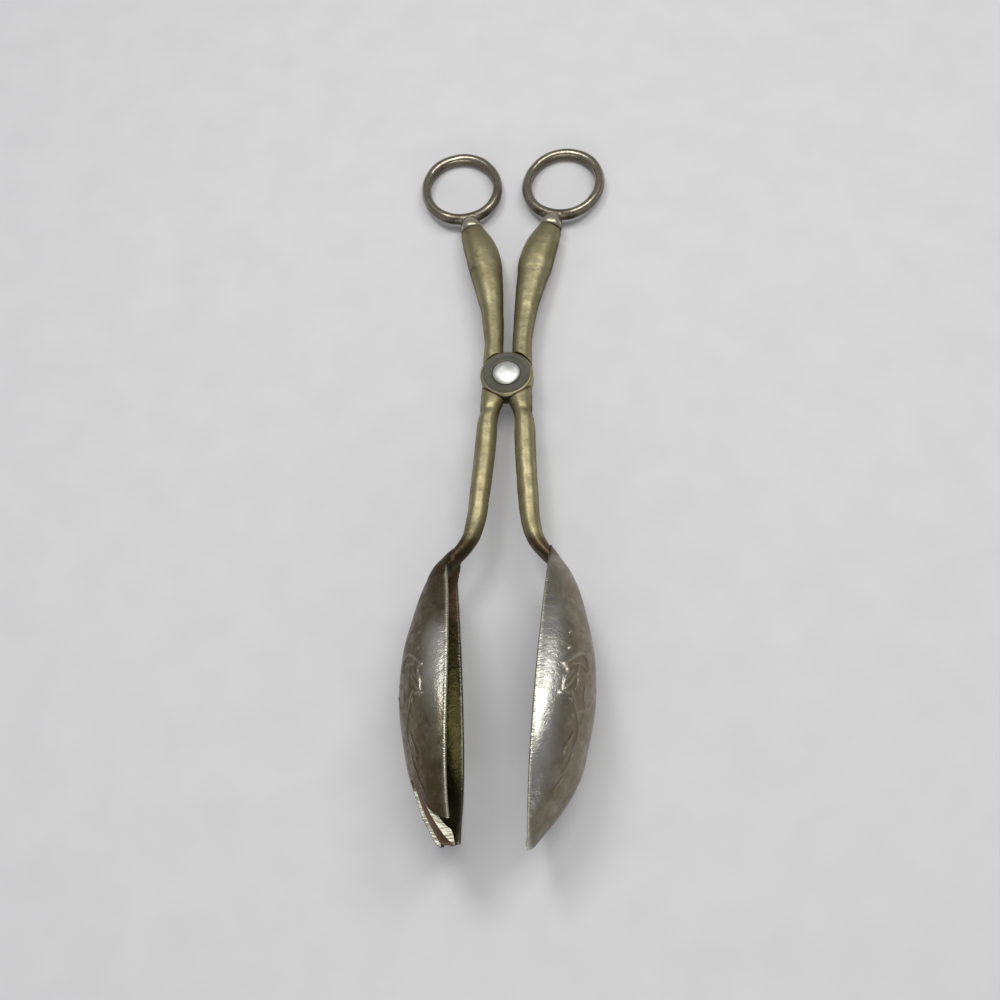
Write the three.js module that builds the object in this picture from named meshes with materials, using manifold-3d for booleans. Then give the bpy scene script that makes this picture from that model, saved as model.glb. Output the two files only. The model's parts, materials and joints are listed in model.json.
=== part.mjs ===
// Scissor salad tongs: two cast arms cross in a riveted lap joint, with a finger ring on each handle
// and a deep leaf-shaped bowl, one a spoon and one a fork, brazed round the flattened end of each shank.
//
// Working frame: the hinge axis is +Z through the origin, +Y runs to the finger rings, +X to the right.
// Each arm is made as the upper one, whose handle is on the left and whose shank is on the right. The
// lower arm is the same shape turned half a turn about Y. At the end the whole pair is tipped and moved
// so that its bowls and rings rest on Z = 0, over the middle of its own footprint. Lengths are in mm.

import * as THREE from 'three';
import { mergeVertices } from 'three/addons/utils/BufferGeometryUtils.js';
import Module from 'manifold-3d';

const wasm = await Module();
wasm.setup();

// Lap joint and rivet
const DISC_RADIUS = 9.3;
const DISC_THICKNESS = 3.1;
const DISC_BEVEL = 0.9;
const LAP_CLEARANCE = 0.3;
const SHOULDER_CLEARANCE = 0.3;
const RIVET_RADIUS = 2.3;
const RIVET_CLEARANCE = 0.08;
const RIVET_SEAT_CLEARANCE = 0.3;
const RIVET_HEAD_RADIUS = 4.8;
const RIVET_HEAD_HEIGHT = 1.5;
const RIVET_TAIL_RADIUS = 3.1;
const RIVET_TAIL_HEIGHT = 1.1;
const BURR_THICKNESS = 0.9;
const SPOT_FACE_DEPTH = 0.4;
const SPOT_FACE_CLEARANCE = 0.3;

// Handle, from the hinge axis to the seat of the finger ring
const HANDLE_LENGTH = 67.1;
const HANDLE_SPREAD = 14.8;
const HANDLE_WIDTH = 12.7;
const HANDLE_DEPTH = 10.5;

// Shank, from the hinge axis to the thin end of its neck inside the bowl
const SHANK_LENGTH = 73.2;
const SHANK_SPREAD = 17.3;
const SHANK_WIDTH = 8.4;
const SHANK_DEPTH = 8.6;

// Finger ring, with its collar and the peg that is brazed into the handle
const RING_REACH = 23.3;
const RING_HALF_WIDTH = 14;
const RING_HALF_LENGTH = 15.8;
const RING_WIRE = 4;
const RING_DEPTH = 4.6;
const RING_LEAN = THREE.MathUtils.degToRad(12.5);
const COLLAR_RADIUS = 4.5;
const COLLAR_LENGTH = 6.2;
const PEG_RADIUS = 2;
const PEG_LENGTH = 6;
const PEG_CLEARANCE = 0.3;

// Bowl, set from the end of the neck that it wraps
const NECK_LAP = 6.5;
const NECK_RIM_OFFSET = 1.7;
const BOWL_START = SHANK_LENGTH - NECK_LAP;
const BOWL_LENGTH = 94;
const BOWL_HALF_WIDTH = 21.5;
const BOWL_DEPTH = 17.6;
const BOWL_RIM_START = SHANK_SPREAD - NECK_RIM_OFFSET;
const SPOON_RIM_LEAN = 5.9;
const FORK_RIM_LEAN = 4.8;
const BOWL_SHEET = 1.9;
const BRAZE_GAP = 0.3;

// Tongue, the flattened end of the shank that lies inside the bowl
const TONGUE_LENGTH = 21;
const TONGUE_HALF_WIDTH = 5.2;
const TONGUE_THICKNESS = 2.5;
const TONGUE_CLEARANCE = 0.5;

// Fork slots
const INNER_SLOT_OFFSET = 5;
const INNER_SLOT_WIDTH = 3.2;
const INNER_SLOT_LENGTH = 17;
const OUTER_SLOT_OFFSET = 11.4;
const OUTER_SLOT_WIDTH = 2.2;
const OUTER_SLOT_LENGTH = 10;

// How far a cutter runs past what it cuts
const OVERRUN = 5;

// Columns: place along the length, sideways place, width in the plane of the tongs, depth across it
const HANDLE_SHARES = [
  [0.068, 0.338, 0.614, 0.657],
  [0.12, 0.341, 0.583, 0.657],
  [0.19, 0.341, 0.559, 0.657],
  [0.245, 0.345, 0.559, 0.657],
  [0.3, 0.361, 0.59, 0.667],
  [0.377, 0.389, 0.63, 0.695],
  [0.46, 0.429, 0.689, 0.743],
  [0.543, 0.48, 0.78, 0.81],
  [0.627, 0.537, 0.866, 0.886],
  [0.686, 0.588, 0.945, 0.943],
  [0.739, 0.625, 0.992, 0.981],
  [0.8, 0.682, 1, 1],
  [0.855, 0.75, 0.976, 0.99],
  [0.905, 0.831, 0.929, 0.952],
  [0.955, 0.919, 0.835, 0.876],
  [1, 1, 0.724, 0.8],
  [1.03, 1.055, 0.69, 0.76],
];
const SHANK_SHARES = [
  [0.061, 0.269, 0.998, 0.802],
  [0.108, 0.273, 1.016, 0.837],
  [0.149, 0.292, 0.976, 0.86],
  [0.203, 0.34, 0.83, 0.87],
  [0.257, 0.37, 0.84, 0.88],
  [0.324, 0.381, 0.88, 0.87],
  [0.405, 0.4, 0.88, 0.85],
  [0.486, 0.42, 0.865, 0.83],
  [0.568, 0.444, 0.85, 0.81],
  [0.649, 0.472, 0.835, 0.785],
  [0.73, 0.5, 0.8, 0.756],
  [0.797, 0.548, 0.765, 0.744],
  [0.851, 0.607, 0.702, 0.767],
  [0.892, 0.694, 0.643, 0.814],
  [0.932, 0.815, 0.536, 0.884],
  [0.973, 0.936, 0.393, 0.953],
  [1, 1, 0.286, 1],
];

// Columns: place along the bowl, half width, depth from rim to keel, roundness of the section
const BOWL_SHARES = [
  [0, 0.15, 0.04, 2],
  [0.04, 0.24, 0.215, 2],
  [0.09, 0.385, 0.42, 2],
  [0.16, 0.535, 0.6, 2],
  [0.26, 0.7, 0.765, 2],
  [0.38, 0.858, 0.925, 2],
  [0.5, 0.957, 0.99, 1.95],
  [0.6, 0.995, 0.98, 1.9],
  [0.7, 0.985, 0.905, 1.85],
  [0.78, 0.915, 0.82, 1.8],
  [0.85, 0.79, 0.665, 1.75],
  [0.91, 0.64, 0.47, 1.7],
  [0.96, 0.455, 0.245, 1.7],
  [0.985, 0.325, 0.13, 1.75],
  [1, 0.16, 0.05, 2],
];

// The fork's end is cut blunt: the same columns over its last part, in place of the spoon's
const FORK_END_SHARES = [
  [0.78, 0.915, 0.82, 1.8],
  [0.85, 0.79, 0.7, 1.75],
  [0.91, 0.655, 0.575, 1.75],
  [0.96, 0.51, 0.44, 1.8],
  [1, 0.3, 0.27, 1.9],
];

// Columns: place along the tongue, half width, thickness
const TONGUE_SHARES = [
  [0, 0.62, 1],
  [0.25, 0.8, 1],
  [0.5, 0.97, 0.86],
  [0.75, 1, 0.66],
  [0.9, 0.86, 0.5],
  [1, 0.55, 0.38],
];

// Columns: radius, height above the seat
const COLLAR_SHARES = [
  [0, 0],
  [0.84, 0],
  [0.96, 0.12],
  [1, 0.3],
  [0.97, 0.48],
  [0.88, 0.66],
  [0.76, 0.84],
  [0.66, 1],
  [0, 1],
];

const RIVET_HEAD_SHARES = [
  [1, 0],
  [0.97, 0.3],
  [0.84, 0.62],
  [0.6, 0.86],
  [0.3, 0.97],
];

// A table's column read at any place along it, on a smooth curve through its rows
function columnAt(rows, column, place) {
  const last = rows.length - 1;
  let i = 0;
  while (i < last - 1 && place > rows[i + 1][0]) {
    i += 1;
  }
  const slope = (j) => {
    const low = rows[Math.max(j - 1, 0)];
    const high = rows[Math.min(j + 1, last)];
    return (high[column] - low[column]) / (high[0] - low[0]);
  };
  const step = rows[i + 1][0] - rows[i][0];
  const s = THREE.MathUtils.clamp((place - rows[i][0]) / step, 0, 1);
  const start = rows[i][column] * (1 + 2 * s) * (1 - s) ** 2 + slope(i) * step * s * (1 - s) ** 2;
  const end = rows[i + 1][column] * (3 - 2 * s) * s ** 2 + slope(i + 1) * step * (s - 1) * s ** 2;
  return start + end;
}

// Moves every vertex of a geometry by a function of its old place
function reshape(geometry, move) {
  const position = geometry.attributes.position;
  const point = new THREE.Vector3();
  for (let i = 0; i < position.count; i += 1) {
    point.fromBufferAttribute(position, i);
    move(point);
    position.setXYZ(i, point.x, point.y, point.z);
  }
  return geometry;
}

function toSolid(geometry) {
  const bare = geometry.clone();
  bare.deleteAttribute('normal');
  bare.deleteAttribute('uv');
  const merged = mergeVertices(bare, 1e-4);
  const vertProperties = new Float32Array(merged.attributes.position.array);
  const triVerts = new Uint32Array(merged.index.array);
  return new wasm.Manifold(new wasm.Mesh({ numProp: 3, vertProperties, triVerts }));
}

function toGeometry(solid) {
  const mesh = solid.getMesh();
  const geometry = new THREE.BufferGeometry();
  geometry.setAttribute('position', new THREE.BufferAttribute(new Float32Array(mesh.vertProperties), 3));
  geometry.setIndex(new THREE.BufferAttribute(new Uint32Array(mesh.triVerts), 1));
  geometry.computeVertexNormals();
  return geometry;
}

// A round bar along Z between two heights
function bar(radius, low, high, sides = 40) {
  const geometry = new THREE.CylinderGeometry(radius, radius, high - low, sides);
  return geometry.rotateX(Math.PI / 2).translate(0, 0, (low + high) / 2);
}

// A turned body about Z, from a closed outline of radius and height
function turned(outline, sides = 40) {
  const points = outline.map(([radius, height]) => new THREE.Vector2(radius, height));
  points.push(points[0]);
  return new THREE.LatheGeometry(points, sides).rotateX(Math.PI / 2);
}

// A cast bar of oval section whose centre line bends in the plane of the tongs
function castBar(rows, length, spread, width, depth, steps, sides) {
  const first = rows[0][0];
  const last = rows[rows.length - 1][0];
  const nudge = (last - first) / steps;
  const centre = (place) => new THREE.Vector2(spread * columnAt(rows, 1, place), length * place);
  return reshape(new THREE.CylinderGeometry(1, 1, 1, sides, steps), (point) => {
    const place = first + (last - first) * (point.y + 1 / 2);
    const middle = centre(place);
    const ahead = centre(Math.min(place + nudge, last));
    const behind = centre(Math.max(place - nudge, first));
    const run = ahead.sub(behind).normalize();
    const across = (point.x * width * columnAt(rows, 2, place)) / 2;
    const rise = (point.z * depth * columnAt(rows, 3, place)) / 2;
    point.set(middle.x + run.y * across, middle.y - run.x * across, rise);
  });
}

// A bowl's form: its table of shares, and how far its rim line leans in from the neck to the tip
const spoonForm = { rows: BOWL_SHARES, lean: SPOON_RIM_LEAN };
const forkStart = BOWL_SHARES.filter(([place]) => place < FORK_END_SHARES[0][0]);
const forkForm = { rows: [...forkStart, ...FORK_END_SHARES], lean: FORK_RIM_LEAN };

// A point of the bowl's skin. along runs from 0 at the neck to 1 at the tip, around from -1 at one rim
// over the keel to 1 at the other rim. inset is how far the skin lies inside the outer one, and swell
// moves it out, or in when negative. Either way its edges then run on past the rims.
function bowlPoint(form, along, around, inset, swell) {
  const { rows, lean } = form;
  const halfWidth = BOWL_HALF_WIDTH * columnAt(rows, 1, along) - inset + swell;
  const depth = Math.max(BOWL_DEPTH * columnAt(rows, 2, along) - inset, 0) + swell;
  const power = 2 / columnAt(rows, 3, along);
  const angle = (around * Math.PI) / 2;
  const side = Math.sign(angle) * Math.abs(Math.sin(angle)) ** power;
  const bulge = Math.max(Math.cos(angle), 0) ** power;
  const rim = BOWL_RIM_START - lean * along;
  const edge = rim - Math.abs(swell);
  const out = edge + (rim + depth - edge) * bulge;
  return new THREE.Vector3(out, -BOWL_START - BOWL_LENGTH * along, halfWidth * side);
}

// The bowl as a closed sheet between its outer and inner skins, grown on every side by a gap
function bowlSheet(form, gap = 0) {
  const slab = new THREE.BoxGeometry(1, 1, 1, 1, 28, 18);
  return reshape(slab, (point) => {
    const inset = point.x > 0 ? 0 : BOWL_SHEET;
    const swell = point.x > 0 ? gap : -gap;
    const along = THREE.MathUtils.lerp(-gap / BOWL_LENGTH, 1, 1 / 2 - point.y);
    point.copy(bowlPoint(form, along, 2 * point.z, inset, swell));
  });
}

// The tongue follows the bowl's inner skin, a clearance away from it
function tongue() {
  const slab = new THREE.BoxGeometry(1, 1, 1, 1, 14, 8);
  return reshape(slab, (point) => {
    const place = 1 / 2 - point.y;
    const along = (place * TONGUE_LENGTH) / BOWL_LENGTH;
    const halfWidth = TONGUE_HALF_WIDTH * columnAt(TONGUE_SHARES, 1, place);
    const thickness = TONGUE_THICKNESS * columnAt(TONGUE_SHARES, 2, place);
    const side = 2 * point.z * halfWidth;
    const inset = BOWL_SHEET + TONGUE_CLEARANCE;
    const channel = Math.max(BOWL_HALF_WIDTH * columnAt(BOWL_SHARES, 1, along) - inset, halfWidth);
    const depth = BOWL_DEPTH * columnAt(BOWL_SHARES, 2, along) - inset;
    const rim = BOWL_RIM_START - SPOON_RIM_LEAN * along;
    const curve = Math.sqrt(Math.max(1 - (side / channel) ** 2, 0));
    const outer = rim + depth * (depth > 0 ? curve : 1);
    point.set(outer - (point.x > 0 ? 0 : thickness), -BOWL_START - BOWL_LENGTH * along, side);
  });
}

// The seat of the finger ring: the middle of the handle's end, turned to the ring's lean
function seatMatrix() {
  const place = new THREE.Vector3(-HANDLE_SPREAD, HANDLE_LENGTH, 0);
  const turn = new THREE.Quaternion().setFromAxisAngle(new THREE.Vector3(0, 0, 1), RING_LEAN);
  return new THREE.Matrix4().compose(place, turn, new THREE.Vector3(1, 1, 1));
}

// One arm: handle, half-lap disc, shank, neck and tongue in one casting
function makeArm() {
  const half = LAP_CLEARANCE / 2;
  const top = half + DISC_THICKNESS;
  const disc = turned([
    [0, half],
    [DISC_RADIUS, half],
    [DISC_RADIUS, top - DISC_BEVEL],
    [DISC_RADIUS - DISC_BEVEL, top],
    [0, top],
  ]);
  const handle = castBar(HANDLE_SHARES, HANDLE_LENGTH, -HANDLE_SPREAD, HANDLE_WIDTH, HANDLE_DEPTH, 22, 16);
  const shank = castBar(SHANK_SHARES, -SHANK_LENGTH, SHANK_SPREAD, SHANK_WIDTH, SHANK_DEPTH, 24, 16);
  const matingRoom = bar(DISC_RADIUS + SHOULDER_CLEARANCE, -DISC_THICKNESS - OVERRUN, half);
  const rivetBore = bar(RIVET_RADIUS + RIVET_CLEARANCE, -OVERRUN, top + OVERRUN, 24);
  const faceRoom = bar(DISC_RADIUS, top, top + OVERRUN);
  const spotFace = bar(RIVET_HEAD_RADIUS + SPOT_FACE_CLEARANCE, top - SPOT_FACE_DEPTH, top + OVERRUN, 32);
  const seatRoom = new THREE.CylinderGeometry(HANDLE_WIDTH, HANDLE_WIDTH, COLLAR_LENGTH, 16);
  seatRoom.translate(0, COLLAR_LENGTH / 2 - PEG_CLEARANCE, 0).applyMatrix4(seatMatrix());
  const pegBoreRadius = PEG_RADIUS + PEG_CLEARANCE;
  const pegBoreLength = PEG_LENGTH + 2 * PEG_CLEARANCE;
  const pegBore = new THREE.CylinderGeometry(pegBoreRadius, pegBoreRadius, pegBoreLength + OVERRUN, 16);
  pegBore.translate(0, (OVERRUN - pegBoreLength) / 2, 0).applyMatrix4(seatMatrix());
  return toSolid(shank)
    .add(toSolid(tongue()))
    .subtract(toSolid(bowlSheet(spoonForm, BRAZE_GAP)))
    .add(toSolid(handle))
    .add(toSolid(disc))
    .subtract(toSolid(matingRoom))
    .subtract(toSolid(faceRoom))
    .subtract(toSolid(rivetBore))
    .subtract(toSolid(spotFace))
    .subtract(toSolid(seatRoom))
    .subtract(toSolid(pegBore));
}

// An oval ring of rounded wire, its collar and its peg, seated on the handle's end
function makeFingerRing() {
  const wireRadius = RING_WIRE / 2;
  const hoop = reshape(new THREE.TorusGeometry(RING_HALF_LENGTH, wireRadius, 10, 36), (point) => {
    const angle = Math.atan2(point.y, point.x);
    const out = Math.hypot(point.x, point.y) - RING_HALF_LENGTH;
    const x = (RING_HALF_WIDTH + out) * Math.cos(angle);
    const y = (RING_HALF_LENGTH + out) * Math.sin(angle) + RING_REACH;
    point.set(x, y, (point.z * RING_DEPTH) / RING_WIRE);
  });
  const outline = COLLAR_SHARES.map(
    ([radius, height]) => new THREE.Vector2(radius * COLLAR_RADIUS, height * COLLAR_LENGTH),
  );
  const collar = new THREE.LatheGeometry(outline, 20);
  const pegTop = COLLAR_LENGTH / 2;
  const peg = new THREE.CylinderGeometry(PEG_RADIUS, PEG_RADIUS, pegTop + PEG_LENGTH, 16);
  peg.translate(0, (pegTop - PEG_LENGTH) / 2, 0);
  const ring = toSolid(hoop).add(toSolid(collar)).add(toSolid(peg));
  return toGeometry(ring).applyMatrix4(seatMatrix());
}

// One saw slot of the fork, open at the tip and round at its root, cut through along X
function slotCutter(offset, width, length) {
  const tip = -BOWL_START - BOWL_LENGTH;
  const root = tip + length;
  const outline = new THREE.Shape();
  outline.moveTo(offset + width / 2, tip - OVERRUN);
  outline.lineTo(offset + width / 2, root - width / 2);
  outline.absarc(offset, root - width / 2, width / 2, 0, Math.PI);
  outline.lineTo(offset - width / 2, tip - OVERRUN);
  const run = BOWL_RIM_START + BOWL_DEPTH + OVERRUN;
  const block = new THREE.ExtrudeGeometry(outline, { depth: run, bevelEnabled: false, curveSegments: 6 });
  return block.rotateY(-Math.PI / 2).translate(run, 0, 0);
}

function makeForkBowl() {
  let bowl = toSolid(bowlSheet(forkForm));
  for (const side of [-1, 1]) {
    bowl = bowl
      .subtract(toSolid(slotCutter(side * INNER_SLOT_OFFSET, INNER_SLOT_WIDTH, INNER_SLOT_LENGTH)))
      .subtract(toSolid(slotCutter(side * OUTER_SLOT_OFFSET, OUTER_SLOT_WIDTH, OUTER_SLOT_LENGTH)));
  }
  return toGeometry(bowl);
}

// The rivet: domed head on the upper disc, shank through both, and a tail spread over the burr
function makeRivet() {
  const headSeat = LAP_CLEARANCE / 2 + DISC_THICKNESS - SPOT_FACE_DEPTH + RIVET_SEAT_CLEARANCE;
  const tailSeat = -headSeat - BURR_THICKNESS - RIVET_SEAT_CLEARANCE;
  const head = RIVET_HEAD_SHARES.map(([radius, height]) => [
    radius * RIVET_HEAD_RADIUS,
    headSeat + height * RIVET_HEAD_HEIGHT,
  ]);
  return turned([
    [0, tailSeat - RIVET_TAIL_HEIGHT],
    [RIVET_TAIL_RADIUS - RIVET_TAIL_HEIGHT / 2, tailSeat - RIVET_TAIL_HEIGHT],
    [RIVET_TAIL_RADIUS, tailSeat - RIVET_TAIL_HEIGHT / 2],
    [RIVET_TAIL_RADIUS, tailSeat],
    [RIVET_RADIUS, tailSeat],
    [RIVET_RADIUS, headSeat],
    ...head,
    [0, headSeat + RIVET_HEAD_HEIGHT],
  ], 24);
}

// The burr is the washer that the rivet's tail is hammered down on
function makeBurr() {
  const top = SPOT_FACE_DEPTH - LAP_CLEARANCE / 2 - DISC_THICKNESS - RIVET_SEAT_CLEARANCE;
  const hole = RIVET_RADIUS + RIVET_CLEARANCE;
  return turned([
    [hole, top - BURR_THICKNESS],
    [RIVET_HEAD_RADIUS, top - BURR_THICKNESS],
    [RIVET_HEAD_RADIUS, top],
    [hole, top],
  ], 24);
}

function metal(color, roughness, metalness) {
  return new THREE.MeshStandardMaterial({ color, roughness, metalness });
}

const tongs = new THREE.Group();
const upper = new THREE.Group();
const lower = new THREE.Group();
lower.rotation.y = Math.PI;
tongs.add(upper, lower);

function addPiece(group, name, geometry, material) {
  const piece = new THREE.Mesh(geometry, material);
  piece.name = name;
  group.add(piece);
  return piece;
}

const armShape = toGeometry(makeArm());
const ringShape = makeFingerRing();
const wornBrass = () => metal(0x8f8558, 0.38, 1);
const wornPlate = () => metal(0x9b978a, 0.3, 1);

addPiece(upper, 'front_arm', armShape, wornBrass());
addPiece(lower, 'rear_arm', armShape.clone(), wornBrass());
const rings = [
  addPiece(upper, 'left_finger_ring', ringShape, wornBrass()),
  addPiece(lower, 'right_finger_ring', ringShape.clone(), wornBrass()),
];
const bowls = [
  addPiece(upper, 'spoon_bowl', bowlSheet(spoonForm), wornPlate()),
  addPiece(lower, 'fork_bowl', makeForkBowl(), wornPlate()),
];
addPiece(tongs, 'pivot_rivet', makeRivet(), metal(0xd8d8d0, 0.25, 1));
addPiece(tongs, 'rivet_burr', makeBurr(), metal(0xb9b7a8, 0.35, 1));

// The lowest point of some pieces with the tongs tipped about X by an angle
function lowest(pieces, tip) {
  tongs.rotation.x = tip;
  tongs.updateMatrixWorld(true);
  return Math.min(...pieces.map((piece) => new THREE.Box3().setFromObject(piece, true).min.z));
}

// Laid down, the tongs tip towards the rings until these and the bowls' lower rims both touch
function restingTip() {
  let flat = 0;
  let steep = -Math.PI / 8;
  for (let i = 0; i < 40; i += 1) {
    const middle = (flat + steep) / 2;
    if (lowest(rings, middle) > lowest(bowls, middle)) {
      flat = middle;
    } else {
      steep = middle;
    }
  }
  return flat;
}

tongs.rotation.x = restingTip();
tongs.updateMatrixWorld(true);
const footprint = new THREE.Box3().setFromObject(tongs, true);
const middle = footprint.getCenter(new THREE.Vector3());
tongs.position.set(-middle.x, -middle.y, -footprint.min.z);
tongs.updateMatrixWorld(true);

export default tongs;
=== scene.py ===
"""Looks of the scissor salad tongs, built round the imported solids.

Pieces are made in the tongs' own frame in millimetres: the hinge axis is w through the origin,
v runs to the finger rings and u to the right. The arm, ring and bowl of the upper half are made
as they lie; those of the lower half are the same forms turned half a turn about v.
"""

import json
import math

import bpy
import numpy as np
from mathutils import Matrix, Vector


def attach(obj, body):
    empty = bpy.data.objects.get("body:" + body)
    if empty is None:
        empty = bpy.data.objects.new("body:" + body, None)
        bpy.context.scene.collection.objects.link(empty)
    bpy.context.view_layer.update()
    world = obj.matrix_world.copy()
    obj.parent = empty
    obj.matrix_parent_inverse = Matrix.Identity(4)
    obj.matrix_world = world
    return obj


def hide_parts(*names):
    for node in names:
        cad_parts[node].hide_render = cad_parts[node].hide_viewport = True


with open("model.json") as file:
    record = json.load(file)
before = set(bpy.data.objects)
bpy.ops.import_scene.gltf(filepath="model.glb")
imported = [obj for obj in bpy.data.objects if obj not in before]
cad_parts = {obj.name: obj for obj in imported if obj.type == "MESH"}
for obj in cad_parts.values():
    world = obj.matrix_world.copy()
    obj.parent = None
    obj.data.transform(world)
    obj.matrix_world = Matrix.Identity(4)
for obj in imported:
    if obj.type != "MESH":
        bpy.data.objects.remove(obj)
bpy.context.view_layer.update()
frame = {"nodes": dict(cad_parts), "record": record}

# ---------------------------------------------------------------- sizes, mm

DISC_RADIUS = 9.3
DISC_TOP = 3.25
DISC_BOTTOM = 0.15
DISC_EDGE = 1.1
SPOT_FACE_RADIUS = 5.1
SPOT_FACE_DEPTH = 0.4
SHOULDER_CLEARANCE = 0.3
BORE_RADIUS = 2.38
CUT_OVERRUN = 5
CUTTER_REACH = 12

RIVET_RADIUS = 2.3
RIVET_SEAT = 3.15
RIVET_HEAD_RADIUS = 4.8
RIVET_HEAD_HEIGHT = 1.45
RIVET_TAIL_RADIUS = 3.1
RIVET_TAIL_HEIGHT = 1.1
BURR_TOP = -3.15
BURR_THICKNESS = 0.9

HANDLE_LENGTH = 67.1
HANDLE_SPREAD = 14.8
HANDLE_WIDTH = 12.7
HANDLE_DEPTH = 10.5
HANDLE_STEP_PLACE = 47.2

SHANK_LENGTH = 73.2
SHANK_SPREAD = 17.3
SHANK_WIDTH = 8.4
SHANK_DEPTH = 8.6

RING_REACH = 23.3
RING_HALF_WIDTH = 14
RING_HALF_LENGTH = 15.8
RING_WIRE = 4
RING_DEPTH = 4.6
RING_LEAN = math.radians(12.5)
COLLAR_RADIUS = 4.5
COLLAR_LENGTH = 6.2

BOWL_START = 66.7
BOWL_LENGTH = 94
BOWL_HALF_WIDTH = 21.5
BOWL_DEPTH = 17.6
BOWL_RIM_START = 15.6
SPOON_RIM_LEAN = 5.9
FORK_RIM_LEAN = 4.8
BOWL_SHEET = 1.9
RIM_ROUND = 0.75
BOWL_END_ROUND = 0.9
RELIEF_ROOM = 0.4
SPRIG_ARC = 19.5

TONGUE_LENGTH = 21
TONGUE_HALF_WIDTH = 5.2
TONGUE_THICKNESS = 2.5
TONGUE_CLEARANCE = 0.2

# Slots of the fork: offset from the keel, width, length from the tip, length of the round root
SLOT_OFFSET, SLOT_WIDTH, SLOT_LENGTH, SLOT_ROOT = 5.2, 3.6, 19.0, 4
# Notch beside the near tine: offset from the keel and height above the tip, along its upper edge
NOTCH = [(9.9, 9.8), (10.3, 8.6), (12, 6.2), (13, 4.8), (19, 2)]
# How much further than the middle the near tine reaches, and how much less the far one
NEAR_REACH, FAR_SHORT = 0.9, 2.6

# Fineness of the meshes: voxel and rounds of smoothing of a casting, sides and steps of the rest
ARM_VOXEL, ARM_ROUNDS = 0.3, 9
RING_VOXEL, RING_ROUNDS = 0.22, 8
BAR_SIDES = 64
TURNED_SIDES = 96
CUTTER_SIDES = 128
DISC_SIDES = 160
BOWL_STATIONS, BOWL_AROUND = 400, 280

# Unevenness of a surface: height and wavelength of its broad ripple, then of its fine one
ARM_RIPPLE = ((0.07, 17), (0.035, 5.5))
RING_RIPPLE = ((0.06, 11), (0.03, 4))
BOWL_RIPPLE = ((0.03, 22), (0.012, 6))
BOWL_RIPPLE_SEED = 5

# A raised sprig on each flank of the bowls: width of a line, its height, and the places it runs
# through, as distance from the hinge axis and degrees up from the keel
SPRIG = [
    (0.9, 0.34, [(111.6, 61), (110, 55), (108, 46), (107, 38.5), (108.6, 31.5), (111.4, 29)]),
    (0.7, 0.26, [(112.4, 58.5), (110.9, 47), (110.8, 38.5), (112.4, 33)]),
    (1.0, 0.36, [(111.6, 61), (113.6, 57), (116.3, 59.5), (119.8, 60.5)]),
    (0.8, 0.3, [(114.6, 48.5), (117, 53), (119.4, 58)]),
    (0.8, 0.3, [(113.4, 51.5), (115.6, 56), (117.4, 60)]),
    (0.7, 0.28, [(111.2, 43.5), (114, 45.2), (116.8, 44.5), (119, 47.5)]),
    (0.8, 0.32, [(120.4, 60.5), (120.6, 55.5), (119.3, 51)]),
    (0.9, 0.3, [(120, 51), (122, 47.5), (125.4, 42.5), (128.6, 36.5), (132, 35), (135.6, 38)]),
    (0.8, 0.28, [(117.5, 34), (120.4, 34.5), (123.4, 31), (128.6, 33.5)]),
    (0.7, 0.26, [(131, 41), (135.5, 47), (137.6, 49)]),
    (0.8, 0.28, [(137, 38), (140.5, 40), (142.5, 44)]),
    (0.7, 0.24, [(140.5, 40), (144, 43), (147, 48)]),
    (0.7, 0.24, [(125.4, 42.5), (124.6, 37), (122.6, 24), (118.6, 20)]),
    (0.7, 0.22, [(132, 35), (133, 27), (131, 21)]),
]
# Berries round the sprig: distance from the hinge axis, degrees up from the keel, radius
BERRIES = [
    (101, 55, 0.55), (99, 37, 0.5), (106.4, 56, 0.6), (120.9, 61.5, 0.8), (122.2, 50.5, 0.7),
    (126.6, 46, 0.6), (115.2, 22, 0.6), (118.4, 15.5, 0.55), (112.8, 24.5, 0.5),
    (138.8, 46, 0.5),
]
BERRY_RISE = 0.36

# Columns: place along the length, sideways place, width, depth, as shares of the sizes above
HANDLE_SHARES = np.array([
    [0.068, 0.338, 0.614, 0.657], [0.12, 0.341, 0.583, 0.657], [0.19, 0.341, 0.559, 0.657],
    [0.245, 0.345, 0.559, 0.657], [0.3, 0.361, 0.59, 0.667], [0.377, 0.389, 0.63, 0.695],
    [0.46, 0.429, 0.689, 0.743], [0.543, 0.48, 0.78, 0.81], [0.627, 0.537, 0.866, 0.886],
    [0.686, 0.588, 0.945, 0.943], [0.739, 0.625, 0.992, 0.981], [0.8, 0.682, 1, 1],
    [0.855, 0.75, 0.976, 0.99], [0.905, 0.831, 0.929, 0.952], [0.955, 0.919, 0.835, 0.876],
    [1, 1, 0.724, 0.8],
])
SHANK_SHARES = np.array([
    [0.061, 0.269, 0.998, 0.802], [0.108, 0.273, 1.016, 0.837], [0.149, 0.292, 0.976, 0.86],
    [0.203, 0.34, 0.83, 0.87], [0.257, 0.37, 0.84, 0.88], [0.324, 0.381, 0.88, 0.87],
    [0.405, 0.4, 0.88, 0.85], [0.486, 0.42, 0.865, 0.83], [0.568, 0.444, 0.85, 0.81],
    [0.649, 0.472, 0.835, 0.785], [0.73, 0.5, 0.8, 0.756], [0.797, 0.548, 0.765, 0.744],
    [0.851, 0.607, 0.702, 0.767], [0.892, 0.694, 0.643, 0.814], [0.932, 0.815, 0.536, 0.884],
    [0.973, 0.936, 0.393, 0.953], [1, 1, 0.286, 1],
])
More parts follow.
